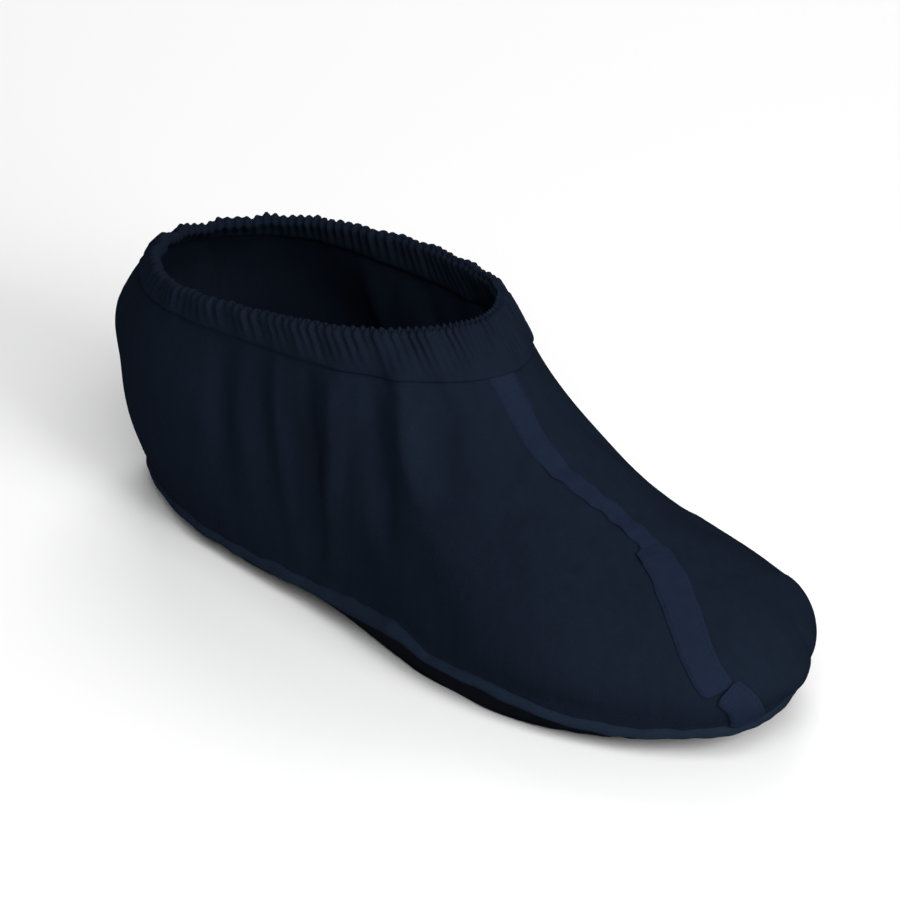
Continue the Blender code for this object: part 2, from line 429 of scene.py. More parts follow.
nearest_cloth = kdtree.KDTree(len(smooth_points))
for k, place in enumerate(smooth_points):
    nearest_cloth.insert(place, k)
nearest_cloth.balance()
step_around = (np.roll(point_grid, -1, axis=1) - np.roll(point_grid, 1, axis=1)) / 2
step_up = np.gradient(point_grid, axis=0)


def cloth_beside(places):
    """The number of the smooth cloth's corner nearest to each place."""
    return np.array([nearest_cloth.find(p)[1] for p in places])


def around_and_up(places):
    """Around and up of the smooth cloth beside each place, read between its corners."""
    beside = cloth_beside(places)
    cells = at_row[beside], at_column[beside]
    off = places - smooth_points[beside]
    found = []
    for number, steps, count in ((at_column, step_around, FINE_COLUMNS), (at_row, step_up, FINE_ROWS)):
        way = steps[cells]
        share = row_dot(off, way) / row_dot(way, way)
        found.append((number[beside] + np.clip(share, -HALF_STEP, HALF_STEP)) / count)
    return np.column_stack(found)


widest = np.linalg.norm(step_around, axis=2).max()
print("the cloth's corners are at most", round(float(widest) / MM, 1), "mm apart round the shoe")

# %% [markdown]
# ## The main folds
#
# Cloth that is pulled in at the ankle falls in long soft folds below it, and it buckles where the foot
# bends. A cloth simulation would make folds of its own, and these have to be the ones that are seen. So
# each fold is a line drawn on the cloth, with a height in millimetres, a trough where it is negative, and
# a half width.

# %% Fold lines
# Each fold: height and half width in millimetres, then places (around, up) along it.
FOLDS = {
    "inner heel valley": (-2.0, 4.5, ((0.79, 0.90), (0.81, 0.60), (0.83, 0.34), (0.84, 0.12))),
    "inner heel ridge": (1.8, 5.5, ((0.77, 0.90), (0.79, 0.67), (0.81, 0.44), (0.825, 0.14))),
    "inner narrow ridge": (
        2.8, 3.8, ((0.74, 0.90), (0.76, 0.72), (0.785, 0.48), (0.80, 0.27), (0.80, 0.05))),
    "inner narrow valley": (
        -2.8, 3.4, ((0.71, 0.92), (0.73, 0.76), (0.76, 0.53), (0.78, 0.32), (0.79, 0.05))),
    "inner long ridge": (
        3.8, 5.0, ((0.685, 0.93), (0.715, 0.72), (0.75, 0.50), (0.775, 0.28), (0.78, 0.05))),
    "inner long valley": (
        -3.2, 5.5, ((0.65, 0.95), (0.68, 0.745), (0.71, 0.56), (0.735, 0.38), (0.745, 0.24))),
    "inner front ridge": (3.4, 4.8, ((0.62, 0.97), (0.645, 0.81), (0.67, 0.67), (0.695, 0.50))),
    "inner front valley": (-1.8, 6.5, ((0.59, 0.97), (0.61, 0.83), (0.64, 0.69), (0.67, 0.54))),
    "inner ball hollow": (-2.4, 13.0, ((0.73, 0.50), (0.725, 0.34), (0.715, 0.22), (0.70, 0.10))),
    "inner ball bulge": (1.8, 18.0, ((0.61, 0.60), (0.64, 0.42), (0.645, 0.25), (0.64, 0.08))),
    "inner instep ridge": (0.7, 5.5, ((0.515, 0.79), (0.555, 0.74), (0.60, 0.66), (0.645, 0.54))),
    "inner instep valley": (-0.9, 5.0, ((0.53, 0.80), (0.57, 0.73), (0.61, 0.65), (0.64, 0.58))),
    "toe bulge": (2.6, 12.0, ((0.47, 0.42), (0.48, 0.31), (0.475, 0.20))),
    "first flex crease": (-0.9, 2.4, ((0.48, 0.70), (0.51, 0.715), (0.54, 0.71), (0.57, 0.70))),
    "second flex crease": (-1.1, 2.6, ((0.465, 0.58), (0.49, 0.595), (0.52, 0.60), (0.555, 0.59))),
    "third flex crease": (-1.0, 2.6, ((0.465, 0.51), (0.49, 0.525), (0.52, 0.53), (0.56, 0.51))),
    "outer heel trough": (-2.0, 6.0, ((0.205, 0.90), (0.195, 0.62), (0.18, 0.32), (0.17, 0.12))),
    "outer ankle ridge": (2.0, 5.0, ((0.26, 0.90), (0.245, 0.62), (0.22, 0.32), (0.21, 0.14))),
    "outer ankle trough": (-2.6, 5.0, ((0.305, 0.93), (0.29, 0.68), (0.255, 0.35), (0.25, 0.18))),
    "outer broad ridge": (2.2, 6.5, ((0.35, 0.94), (0.33, 0.72), (0.30, 0.45), (0.285, 0.30))),
    "outer front trough": (-2.2, 5.5, ((0.39, 0.95), (0.37, 0.76), (0.335, 0.54), (0.32, 0.40))),
    "outer instep fold": (-1.6, 6.0, ((0.45, 0.80), (0.41, 0.66), (0.37, 0.49), (0.345, 0.34))),
    "outer vamp hollow": (-3.0, 14.0, ((0.42, 0.57), (0.395, 0.47), (0.385, 0.38), (0.40, 0.27))),
    "outer toe corner": (2.0, 9.0, ((0.40, 0.27), (0.42, 0.225), (0.445, 0.175))),
    "front toe corner": (2.2, 9.0, ((0.45, 0.17), (0.47, 0.13), (0.48, 0.06))),
    "heel hollow": (-1.6, 9.0, ((0.94, 0.72), (0.00, 0.66), (0.06, 0.72))),
}
FOLD_STEPS = 14


def eased(table, steps):
    """A smooth run through the rows of a table, as evenly spaced steps along it."""
    table = np.asarray(table, float)
    knots = np.linspace(0, 1, len(table))
    padded = np.vstack((2 * table[0] - table[1], table, 2 * table[-1] - table[-2]))
    found = []
    for t in np.linspace(0, 1, steps):
        k = min(int(t * (len(table) - 1)), len(table) - 2)
        s = (t - knots[k]) * (len(table) - 1)
        p0, p1, p2, p3 = padded[k:k + 4]
        found.append(0.5 * (2 * p1 + (p2 - p0) * s + (2 * p0 - 5 * p1 + 4 * p2 - p3) * s ** 2
                            + (3 * p1 - p0 - 3 * p2 + p3) * s ** 3))
    return np.array(found)


def circular(table):
    """A copy of a list of places in which around runs on past 1 where it crosses the heel."""
    places = np.array(table, float)
    places[:, 0] = np.unwrap(places[:, 0], period=1.0)
    return places


# Each fold line: height, half width, whether it fades at both ends, and its points.
fold_lines = []
for height, half, places in FOLDS.values():
    track = eased(circular(places), FOLD_STEPS)
    fold_lines.append((height, half, True, on_cloth(track[:, 0], track[:, 1])))
print("main folds", len(fold_lines))

# %% [markdown]
# ## Gathers and puckers
#
# The elastic draws the cloth into short gathers below the collar, and the stitches of the sole seam draw it
# into small puckers. There are too many to draw by hand, and an even row would look like a machine's. So
# they stand at even steps, each a little off by chance, and the seed makes chance give the same ones every
# time.

# %% Gathers and puckers
SEED = 7
# Heights and half widths are in millimetres, and lengths in shares of the way up.
GATHERS = 46
GATHER_HEIGHT = (0.7, 1.7)
GATHER_LENGTH = (0.10, 0.24)
GATHER_HALF = 2.6
PUCKERS = 96
PUCKER_HEIGHT = (0.1, 0.3)
PUCKER_LENGTH = (0.05, 0.13)
PUCKER_HALF = 2.4
# They stand this far off even steps, and lean this much of their length.
SCATTER = 0.3
LEAN = 0.06
SHORT_STEPS = 5

chance = np.random.default_rng(SEED)
for count, heights, lengths, half, from_top in (
    (GATHERS, GATHER_HEIGHT, GATHER_LENGTH, GATHER_HALF, True),
    (PUCKERS, PUCKER_HEIGHT, PUCKER_LENGTH, PUCKER_HALF, False),
):
    for k in range(count):
        around = (k + chance.uniform(-SCATTER, SCATTER)) / count
        height = chance.uniform(*heights) * (1 if k % 2 else -1)
        reach = np.linspace(0, chance.uniform(*lengths), SHORT_STEPS)
        lean = chance.uniform(-LEAN, LEAN) * reach
        line = on_cloth(around + lean, 1 - reach if from_top else reach)
        fold_lines.append((height, half, False, line))
print("fold lines with gathers and puckers", len(fold_lines))

# %% [markdown]
# ## How far the folds push
#
# A fold pushes the cloth along its normal, most on its line and less beside it, and it dies away at its
# ends. A faint slow billow keeps the cloth between the folds from looking like plastic. A sculpting brush
# could do this, but here it is a function of a point, so that whatever is sewn to the cloth can be pushed
# the same way.

# %% The push of the folds
# A fold is felt within this many of its half widths.
FOLD_REACH = 3
# The lower this power is, the longer a main fold keeps its height towards its ends.
FADE = 0.6
BILLOW_SIZE = 35.0 * MM
BILLOW_HEIGHT = 0.7 * MM


def fold_depth(places):
    """How far each place is pushed out along the cloth's normal, in metres."""
    pushed = np.array([noise.noise(Vector(p) / BILLOW_SIZE) for p in places]) * BILLOW_HEIGHT
    for height, half, both_ends, line in fold_lines:
        reach = FOLD_REACH * half * MM
        near = np.all((places > line.min(0) - reach) & (places < line.max(0) + reach), axis=1)
        spots = places[near]
        gap = np.full(len(spots), np.inf)
        share = np.zeros(len(spots))
        for k, (a, b) in enumerate(zip(line[:-1], line[1:])):
            t = np.clip((spots - a) @ (b - a) / ((b - a) @ (b - a)), 0, 1)
            off = np.linalg.norm(spots - a - t[:, None] * (b - a), axis=1)
            nearer = off < gap
            gap[nearer] = off[nearer]
            share[nearer] = (k + t[nearer]) / (len(line) - 1)
        strength = np.sin(np.pi * share) ** FADE if both_ends else np.cos(np.pi / 2 * share) ** 2
        pushed[near] += height * MM * np.exp(-(gap / (half * MM)) ** 2) * strength
    return pushed


push = fold_depth(smooth_points)
print("folds push", round(push.min() / MM, 2), "to", round(push.max() / MM, 2), "mm")

# %% [markdown]
# ## The hem
#
# The lower hem of the cloth is no straight line. It hangs low at the heel and the toe, is drawn up at the
# waist of the foot, and flares a little over the sole. It could be dragged into place corner by corner. A
# short table of its run round the shoe says the same in a form that can be read, and the lip and the sole
# will follow it too.

# %% The hem and the folded cloth
# The hem's run round the shoe: around, how far it hangs below the seam and how far it flares, in millimetres,
# and the size of the lip there as a share of its outline.
HEM = (
    (0.00, 2.5, 1.4, 0.6), (0.10, 2.0, 1.4, 0.6), (0.25, 1.0, 1.8, 0.8), (0.35, 0.5, 1.8, 0.9),
    (0.42, 1.6, 1.6, 0.8), (0.50, 2.2, 1.2, 0.8), (0.57, 2.0, 1.2, 0.8), (0.615, 2.2, 1.4, 0.8),
    (0.635, 1.0, 1.6, 0.9), (0.66, -1.8, 2.0, 0.9), (0.685, -4.2, 2.4, 1.1), (0.70, -3.8, 2.2, 0.9),
    (0.715, -2.8, 1.8, 0.9), (0.73, -4.8, 2.6, 1.4), (0.74, -5.2, 3.2, 1.5), (0.75, -3.0, 2.6, 1.2),
    (0.77, 0.0, 2.8, 1.2), (0.79, 2.0, 2.0, 0.9), (0.83, 3.0, 1.6, 0.7), (0.90, 2.8, 1.4, 0.6),
    (1.00, 2.5, 1.4, 0.6),
)
hem_around, hem_hang, hem_out, lip_size = np.array(HEM).T
# The hang and the flare die away at these heights up the cloth.
HEM_DROP_HIGH = 0.22
HEM_HIGH = 0.06
# How far the flare strays, in millimetres, and how quickly it does so round the shoe.
HEM_WAVER = 0.4
HEM_WAVES = 7
DOWN = (0, 0, -1)


def hem_drop(around, up):
    """How far the lower hem hangs below the seam, in metres."""
    fade = np.clip(1 - up / HEM_DROP_HIGH, 0, 1) ** 2
    return np.interp(around, hem_around, hem_hang) * MM * fade


def hem_flare(around, up):
    """How far the lower hem of the cloth flares out over the sole, in metres."""
    turns = np.asarray(around) * 2 * math.pi
    waver = np.array([noise.noise(Vector((math.cos(t), math.sin(t), 0)) * HEM_WAVES) for t in turns])
    fade = np.clip(1 - up / HEM_HIGH, 0, 1) ** 2
    return (np.interp(around, hem_around, hem_out) + HEM_WAVER * waver) * MM * fade


push += hem_flare(cloth_around, cloth_up)
drop = np.outer(hem_drop(cloth_around, cloth_up), DOWN)
move_corners(cloth, smooth_points + smooth_normals * push[:, None] + drop)
folded_points = corners(cloth)
folded_cloth = BVHTree.FromPolygons(
    [Vector(p) for p in folded_points], [face.vertices[:] for face in cloth.data.polygons]
)
farthest = np.abs(folded_points - smooth_points).max()
print("the cloth moved by up to", round(float(farthest) / MM, 2), "mm")

# %% [markdown]
# ## The upper's wall
#
# The sheet has its folds, but no thickness yet. A second sheet could be made inside it and joined at the
# rims. Solidify does that in one step. It works inwards here, so the outside keeps its size and the collar
# shows a real edge. The map is then scaled from shares of the cloth to metres, for the weave.

# %% The upper
CLOTH_THICKNESS = 1.0 * MM
# The flat cloth is about this long round the shoe and this high, in metres.
CLOTH_GIRTH = 0.62
CLOTH_RISE = 0.15


def thickened(piece, thickness):
    """Gives a sheet its thickness, inwards."""
    only(piece)
    bpy.ops.object.modifier_add(type="SOLIDIFY")
    modifier = piece.modifiers[-1]
    modifier.thickness = thickness
    modifier.offset = -1.0
    modifier.use_even_offset = True
    bpy.ops.object.modifier_apply(modifier=modifier.name)


def scale_map(piece, wide, high):
    """Scales a piece's map from shares of the cloth to metres."""
    layer = piece.data.uv_layers.active.data
    spots = np.zeros(len(layer) * 2)
    layer.foreach_get("uv", spots)
    layer.foreach_set("uv", (spots.reshape(-1, 2) * (wide, high)).ravel())


def triangles(piece):
    """How many triangles a piece has."""
    return sum(len(face.vertices) - 2 for face in piece.data.polygons)


def hand_in(piece, slot_name, *node_names):
    """Ties a finished piece to the frame."""
    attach(piece, "root")
    if node_names:
        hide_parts(*node_names)
    print(piece.name, triangles(piece), "triangles")


thickened(cloth, CLOTH_THICKNESS)
scale_map(cloth, CLOTH_GIRTH, CLOTH_RISE)
hand_in(cloth, "cloth", "upper")

# %% [markdown]
# ## Laying things on the folded cloth
#
# What is sewn on top has to lie on the folds. A Shrinkwrap modifier could do that, but it gives no say in
# how far off the cloth each point stays. Looking up the nearest point and its normal does, so an edge can
# be pressed in while a crumple stands off.

# %% On to the folds


def drop_on_cloth(places, lift):
    """The places moved to the folded cloth and out from it, and the cloth's normals there."""
    dropped = np.zeros((len(places), 3))
    normals = np.zeros((len(places), 3))
    for k, place in enumerate(places):
        spot, normal = folded_cloth.find_nearest(place)[:2]
        dropped[k] = spot
        normals[k] = normal
    return dropped + normals * np.asarray(lift)[:, None], normals


def unit(rows):
    """Each row as a direction of length 1."""
    return rows / np.linalg.norm(rows, axis=1)[:, None]


def run_along(line):
    """How far along a line of points each of them is."""
    return np.concatenate(([0], np.cumsum(np.linalg.norm(np.diff(line, axis=0), axis=1))))


def ramp(value, low, high):
    """0 below low, 1 above high, smooth between."""
    t = np.clip((np.asarray(value, float) - low) / (high - low), 0, 1)
    return t * t * (3 - 2 * t)


toe_line = on_cloth(np.full(FINE_ROWS, TOE), np.linspace(0, 1, FINE_ROWS))
print("from the seam at the toe to the collar", round(run_along(toe_line)[-1] / MM), "mm")

# %% [markdown]
# ## The tape over the instep seam
#
# The two halves of the upper meet in a seam from the collar to the toe, and a flat woven tape covers it. It
# lies smooth over the toe and crumples narrow where the foot bends, with a pleat below that, and its end is
# folded over at the toe. One strip could not lie over itself, so it is laid in three lengths that overlap.
# Their tracks and widths are drawn on the cloth as they are seen.

# %% The tape's tracks
# Each strip: lift off the cloth in millimetres, steps along it, places (around, up) and widths (up,
# millimetres).
STRIPS = {
    "upper": (
        0.0, 110,
        ((0.522, 0.94), (0.525, 0.85), (0.532, 0.76), (0.526, 0.685), (0.513, 0.63), (0.507, 0.57),
         (0.512, 0.51)),
        ((0.51, 8.0), (0.56, 7.4), (0.62, 6.9), (0.70, 7.2), (0.76, 8.4), (0.82, 9.4), (0.93, 10.0))),
    "lower": (
        0.35, 90,
        ((0.510, 0.535), (0.524, 0.48), (0.544, 0.405), (0.557, 0.32), (0.560, 0.25), (0.555, 0.18)),
        ((0.17, 12.0), (0.30, 12.0), (0.38, 12.5), (0.46, 12.8), (0.53, 12.0))),
    "toe": (
        0.9, 40,
        ((0.549, 0.185), (0.536, 0.125), (0.528, 0.07), (0.520, 0.015)),
        ((0.02, 12.5), (0.12, 12.0), (0.19, 11.0))),
}
# The foot bends between these heights up the tape.
FLEX_FROM = 0.47
FLEX_TO = 0.76
FLEX_EASE = 0.04
# The edges stray a little, and more where the foot bends. The seeds keep the two edges different.
EDGE_WAVER = 0.3 * MM
EDGE_WAVER_FLEXED = 1.0 * MM
EDGE_WAVER_LENGTH = 6.0 * MM
EDGE_SEEDS = (3.7, 8.1)


def flexed(up):
    """1 where the foot bends, 0 away from there."""
    bent = ramp(up, FLEX_FROM - FLEX_EASE, FLEX_FROM + FLEX_EASE)
    return bent * (1 - ramp(up, FLEX_TO - FLEX_EASE, FLEX_TO + FLEX_EASE))


def edge_stray(run, flexing):
    """How far the two edges of a strip stray sideways, along its run."""
    stray = np.array([
        [noise.noise(Vector((s / EDGE_WAVER_LENGTH, seed, 0.0))) for seed in EDGE_SEEDS] for s in run
    ])
    return stray * (EDGE_WAVER + (EDGE_WAVER_FLEXED - EDGE_WAVER) * flexing)[:, None]


print("tape strips", list(STRIPS))

# %% [markdown]
# ## Cutting and sewing the tape
#
# Each length starts as a flat grid. Its columns are set along the track and its rows across it, and each
# point then drops on to the folded cloth. A curve with a flat profile could give such a strip, but it would
# cut through the folds. The edges are pressed down, the corners cut round, and the middle crumples where
# the foot bends.

# %% The tape
TAPE_ACROSS = 20
TAPE_THICKNESS = 0.6 * MM
TAPE_CORNER = 2.0 * MM
# The edges are sewn down from this share of the way across, counted from the middle.
EDGE_FROM = 0.40
EDGE_SINK = 0.5 * MM
# The crumples, lifted by half so that they stand off the cloth.
TAPE_RIPPLE = 0.7 * MM
TAPE_RIPPLE_LENGTH = 5.5 * MM
RIPPLES_ACROSS = 1.5
RIPPLE_SEED = 5.0
RIPPLE_LIFT = 0.5
TAPE_STITCH_INSET = 1.3 * MM
SHARP_EDGE = math.radians(40)


def strip(name, places, widths, steps, lift):
    """A strip of tape along a track on the folded cloth, and the lines and normals for its stitches."""
    track = eased(places, steps + 1)
    line = on_cloth(track[:, 0], track[:, 1])
    sideways = unit(np.cross(smooth_normals[cloth_beside(line)], unit(np.gradient(line, axis=0))))
    run = run_along(line)
    width = np.interp(track[:, 1], *np.array(widths).T) * MM
    cut = np.clip(TAPE_CORNER - np.minimum(run, run[-1] - run), 0, None)
    width -= 2 * (TAPE_CORNER - np.sqrt(TAPE_CORNER ** 2 - cut ** 2))
    flexing = flexed(track[:, 1])
    stray = edge_stray(run, flexing)

    piece, along, across = new_grid(name, steps, TAPE_ACROSS)
    step = nearest_step(along, steps)
    across = across - GRID_HALF
    shift = np.where(across > 0, stray[step, 0], stray[step, 1]) * np.abs(across) / GRID_HALF
    sheet = line[step] + sideways[step] * (across * width[step] + shift)[:, None]
    ripple = np.array([
        noise.noise(Vector((s / TAPE_RIPPLE_LENGTH, a * RIPPLES_ACROSS, RIPPLE_SEED)))
        for s, a in zip(run[step], across)
    ])
    raised = TAPE_THICKNESS + lift - EDGE_SINK * ramp(np.abs(across), EDGE_FROM, GRID_HALF)
    raised += TAPE_RIPPLE * (ripple + RIPPLE_LIFT) * flexing[step]
    placed, normals = drop_on_cloth(sheet, raised)
    move_corners(piece, placed)
    if row_dot(corner_normals(piece), normals).mean() < 0:
        with edit_mode(piece):
            bpy.ops.mesh.flip_normals()
    scale_map(piece, run[-1], width.max())
    thickened(piece, TAPE_THICKNESS)
    bpy.ops.object.shade_smooth_by_angle(angle=SHARP_EDGE)
    print(name, round(run[-1] / MM), "mm long")
    inset = width / 2 - TAPE_STITCH_INSET
    edges = [line + sideways * (side * inset)[:, None] for side in (-1, 1)]
    return piece, [drop_on_cloth(edge, np.full(len(edge), TAPE_THICKNESS + lift)) for edge in edges]


tape_edges = []
lengths_of_tape = []
for name, (lift, steps, places, widths) in STRIPS.items():
    piece, edges = strip(name, places, widths, steps, lift * MM)
    lengths_of_tape.append(piece)
    tape_edges += edges
tape = lengths_of_tape[0]
tape.name = "tape_over_instep"
only(tape)
for piece in lengths_of_tape:
    piece.select_set(True)
bpy.ops.object.join()
hand_in(tape, "tape", "instep_tape")

# %% [markdown]
# ## The sole
#
# The sole is a soft tray of coated cloth, with its edge turned up to the seam. The plain solid already has
# that shape in facets, so a copy is used and nothing is modelled anew. Its triangles are joined in pairs,
# because subdividing rounds four-sided faces more evenly. Its wall is then drawn up where the hem rises at
# the waist of the foot, and nothing goes below the floor.

# %% The sole
QUAD_ANGLE = math.radians(60)
QUAD_SHAPE = math.radians(150)
QUAD_HOLD = 2.0
SOLE_FINER = 2
# The sole's wall stretches between these heights where the hem is drawn up.
SOLE_WALL = (3.0 * MM, 9.0 * MM)


def four_sided(piece):
    """Joins pairs of triangles into four-sided faces."""
    with edit_mode(piece):
        bpy.ops.mesh.tris_convert_to_quads(
            face_threshold=QUAD_ANGLE, shape_threshold=QUAD_SHAPE, topology_influence=QUAD_HOLD
        )


sole = copy_of("sole", "coated_sole")
four_sided(sole)
smoothed(sole, SOLE_FINER)
places = corners(sole)
around = around_and_up(places)[:, 0]
rise = np.clip(-hem_drop(around, 0.0), 0, None) * ramp(places[:, 2], *SOLE_WALL)
places[:, 2] = np.clip(places[:, 2] + rise, 0, None)
move_corners(sole, places)
hand_in(sole, "sole", "sole")

# %% [markdown]
# ## The rolled seam binding
#
# Where the cloth meets the sole, the seam is bound with a strip that rolls into a lip. It is thick and
# thin, as a binding fed in by hand is, and it rises and hangs with the hem. A curve with a round profile
# would be too even. So a flat strip is wrapped into the lip's outline all the way round, with its own size
# at each step.

# %% The rolled lip
# The lip's outline: the share of the hem's flare that it follows, then how far it is out from the cloth
# and up from the seam, in millimetres.
LIP_PROFILE = (
    (1.0, -0.6, 2.4), (1.0, 0.0, 2.7), (1.0, 0.6, 2.2), (1.0, 1.1, 1.2), (1.0, 1.4, 0.1), (1.0, 1.4, -0.9),
    (1.0, 0.9, -1.7), (1.0, 0.1, -1.9), (0.6, -0.3, -1.8), (0.0, -0.3, -1.6), (0.0, -0.9, -0.6),
    (0.0, -1.0, 0.4), (0.5, -0.9, 1.2), (1.0, -0.9, 1.9),
)
# The way round the lip's outline, for its map.
LIP_ROUND = 13.0 * MM
LIP_STEPS = 576
# How much its bulge and its height vary, and over what length. The shift keeps the two apart.
LIP_WAVER = 0.5
LIP_SIZE_WAVER = 0.45
LIP_WAVER_LENGTH = 11.0 * MM
LIP_SWELL_SHIFT = Vector((0.0, 0.0, 5.0))
# The share of the folds' push that the lip follows.
LIP_BEND = 0.6

lip, along, across = new_grid("rolled_seam_binding", LIP_STEPS, len(LIP_PROFILE))
around = along % 1.0
turn = nearest_step(across, len(LIP_PROFILE)) % len(LIP_PROFILE)
share, out, high = np.array(LIP_PROFILE)[turn].T
foot = on_cloth(around, np.zeros(len(around)))
upward = on_cloth(around, np.full(len(around), HEM_HIGH)) - foot
rise = np.linalg.norm(upward, axis=1)
ways = smooth_normals[cloth_beside(foot)]
waver = np.array([noise.noise(Vector(p) / LIP_WAVER_LENGTH) for p in foot])
swell = np.array([noise.noise(Vector(p) / LIP_WAVER_LENGTH + LIP_SWELL_SHIFT) for p in foot])
out = out * (1 + LIP_WAVER * waver) * MM
high = high * np.interp(around, hem_around, lip_size) * (1 + LIP_SIZE_WAVER * swell) * MM
above = np.clip(high / rise, 0, None) * HEM_HIGH
climb = on_cloth(around, above) + unit(upward) * np.minimum(high, 0)[:, None]
out += (hem_flare(around, above) + fold_depth(foot) * LIP_BEND) * share
fall = hem_drop(around, above)
fall = np.where(fall > 0, fall * share, fall)
move_corners(lip, climb + ways * out[:, None] + np.outer(fall, DOWN))
with edit_mode(lip):
    bpy.ops.mesh.remove_doubles(threshold=MERGE)
    bpy.ops.mesh.normals_make_consistent(inside=False)
bpy.ops.object.shade_smooth()
scale_map(lip, CLOTH_GIRTH, LIP_ROUND)
hand_in(lip, "binding", "seam_binding")

# %% [markdown]
# ## The elastic collar binding
#
# The collar is bound with a strip that holds elastic, which draws it into small ruffles. The plain solid
# has the binding's shape, so a copy is rounded as the sole was, and pushed by the same folds as the cloth
# below. The ruffles are a wave round the collar. An even one would look machined, so its pace drifts and
# its height varies.

# %% The collar binding
COLLAR_FINER = 3
RUFFLES = 118
RUFFLE_HEIGHT = 0.55 * MM
# The ruffles start at this height up the cloth.
RUFFLE_FROM = 0.90
# The wave drifts by this angle in radians, this many times round the collar.
RUFFLE_DRIFT = 1.5
RUFFLE_DRIFTS = 7
# Its height varies by this share, over patches of this size.
RUFFLE_UNEVEN = 0.8
RUFFLE_PATCH = 9.0 * MM
# A face that reaches further round than this crosses the heel, where around starts again.
HALF_ROUND = 0.5


def map_from_cloth(piece):
    """Gives a copy the cloth's map, so that its pattern runs round the shoe too."""
    near = around_and_up(corners(piece))
    layer = piece.data.uv_layers.new(name="flat")
    owner = np.zeros(len(piece.data.loops), int)
    piece.data.loops.foreach_get("vertex_index", owner)
    spots = near[owner]
    for face in piece.data.polygons:
        ends = slice(face.loop_start, face.loop_start + face.loop_total)
        if np.ptp(spots[ends, 0]) > HALF_ROUND:
            spots[ends, 0] += spots[ends, 0] < HALF_ROUND
    layer.data.foreach_set("uv", (spots * (CLOTH_GIRTH, CLOTH_RISE)).ravel())


collar = copy_of("collar_binding", "elastic_collar_binding")
four_sided(collar)
smoothed(collar, COLLAR_FINER)
places = corners(collar)
move_corners(collar, places + smooth_normals[cloth_beside(places)] * fold_depth(places)[:, None])
around, up = around_and_up(places).T
turns = around * 2 * math.pi
ruffle = np.sin(turns * RUFFLES + RUFFLE_DRIFT * np.sin(turns * RUFFLE_DRIFTS)) * ramp(up, RUFFLE_FROM, 1.0)
ruffle *= 1 + RUFFLE_UNEVEN * np.array([noise.noise(Vector(p) / RUFFLE_PATCH) for p in places])
move_corners(collar, corners(collar) + corner_normals(collar) * (ruffle * RUFFLE_HEIGHT)[:, None])
map_from_cloth(collar)
hand_in(collar, "binding", "collar_binding")

# %% [markdown]
# ## Stitches along the tape
#
# The seams are sewn with thread of nearly the cloth's own colour, so the stitches show only close to. Each
# one is a short bead of thread that sinks into the cloth at both ends. One ball is made with few faces, and
# copies of it are drawn out and turned along each seam. They become one mesh, because hundreds of objects
# would be slow.

# %% Stitch rows
STITCH_STEP = 3.0 * MM
STITCH_LENGTH = 2.3 * MM
STITCH_THICK = 0.42 * MM
STITCH_SINK = 0.12 * MM
STITCH_SIDES = 8
STITCH_RINGS = 5
# A stitch starts as a ball one metre across, so its length and thickness are also its scale.
BALL_RADIUS = 0.5


def stitch_row(line, normals):
    """Places, directions and normals of the stitches along a line of points."""
    run = run_along(line)
    spots = np.arange(STITCH_STEP, run[-1], STITCH_STEP)
    middles = np.column_stack([np.interp(spots, run, axis) for axis in line.T])
    ends = np.column_stack([np.interp(spots + STITCH_LENGTH / 2, run, axis) for axis in line.T])
    out = np.column_stack([np.interp(spots, run, axis) for axis in normals.T])
    return middles, ends - middles, out


def sew(name, rows, slot_name):
    """One mesh of thread for several rows of stitches."""
    bpy.ops.mesh.primitive_uv_sphere_add(segments=STITCH_SIDES, ring_count=STITCH_RINGS, radius=BALL_RADIUS)
    ball = bpy.context.object
    shape = corners(ball)
    faces = [face.vertices[:] for face in ball.data.polygons]
    bpy.data.objects.remove(ball)
    all_points = []
    all_faces = []
    for middles, ways, out in rows:
        along = unit(ways)
        up = unit(out - along * row_dot(out, along)[:, None])
        side = np.cross(up, along)
        for k, centre in enumerate(middles - up * STITCH_SINK):
            base = len(all_points) * len(shape)
            all_faces += [[base + v for v in face] for face in faces]
            all_points.append(
                centre + np.outer(shape[:, 2] * STITCH_LENGTH, along[k])
                + np.outer(shape[:, 0] * STITCH_THICK, side[k]) + np.outer(shape[:, 1] * STITCH_THICK, up[k])
            )
    mesh = bpy.data.meshes.new(name)
    mesh.from_pydata(np.concatenate(all_points).tolist(), [], all_faces)
    thread = bpy.data.objects.new(name, mesh)
    scene.collection.objects.link(thread)
    with edit_mode(thread):
        bpy.ops.mesh.normals_make_consistent(inside=False)
    bpy.ops.object.shade_smooth()
    hand_in(thread, slot_name)
    print(name, len(all_points), "stitches")
    return thread


tape_thread = sew("tape_thread", [stitch_row(*edge) for edge in tape_edges], "tape")

# %% [markdown]
# ## Stitches along the sole seam
#
# One more row of the same stitches runs round the shoe, a little above the rolled lip, and holds the
# binding. It is a line of places at one height, dropped on to the folds as the tape was.

# %% The seam's stitches
SEAM_STITCH_UP = 0.048
SEAM_STITCH_LIFT = 0.1 * MM
SEAM_STEPS = 400

seam_line = on_cloth(np.linspace(0, 1, SEAM_STEPS), np.full(SEAM_STEPS, SEAM_STITCH_UP))
seam_edge = drop_on_cloth(seam_line, np.full(SEAM_STEPS, SEAM_STITCH_LIFT))
seam_thread = sew("seam_thread", [stitch_row(*seam_edge)], "binding")

# %% [markdown]
# ## Woven materials
#
# Navy on navy: the cloth, the tape, the binding and the thread are nearly the same dark blue, and differ in
# how they are woven and dyed. The binding's paler colour is painted light, where light from above catches
# the rolled seam. A photograph of cloth could be wrapped on, but two crossed wave patterns stay sharp and
# need no file. They follow the map of the flat cloth, in metres, so the weave runs round and up the shoe.

# %% Woven cloth
MATT = 0.9
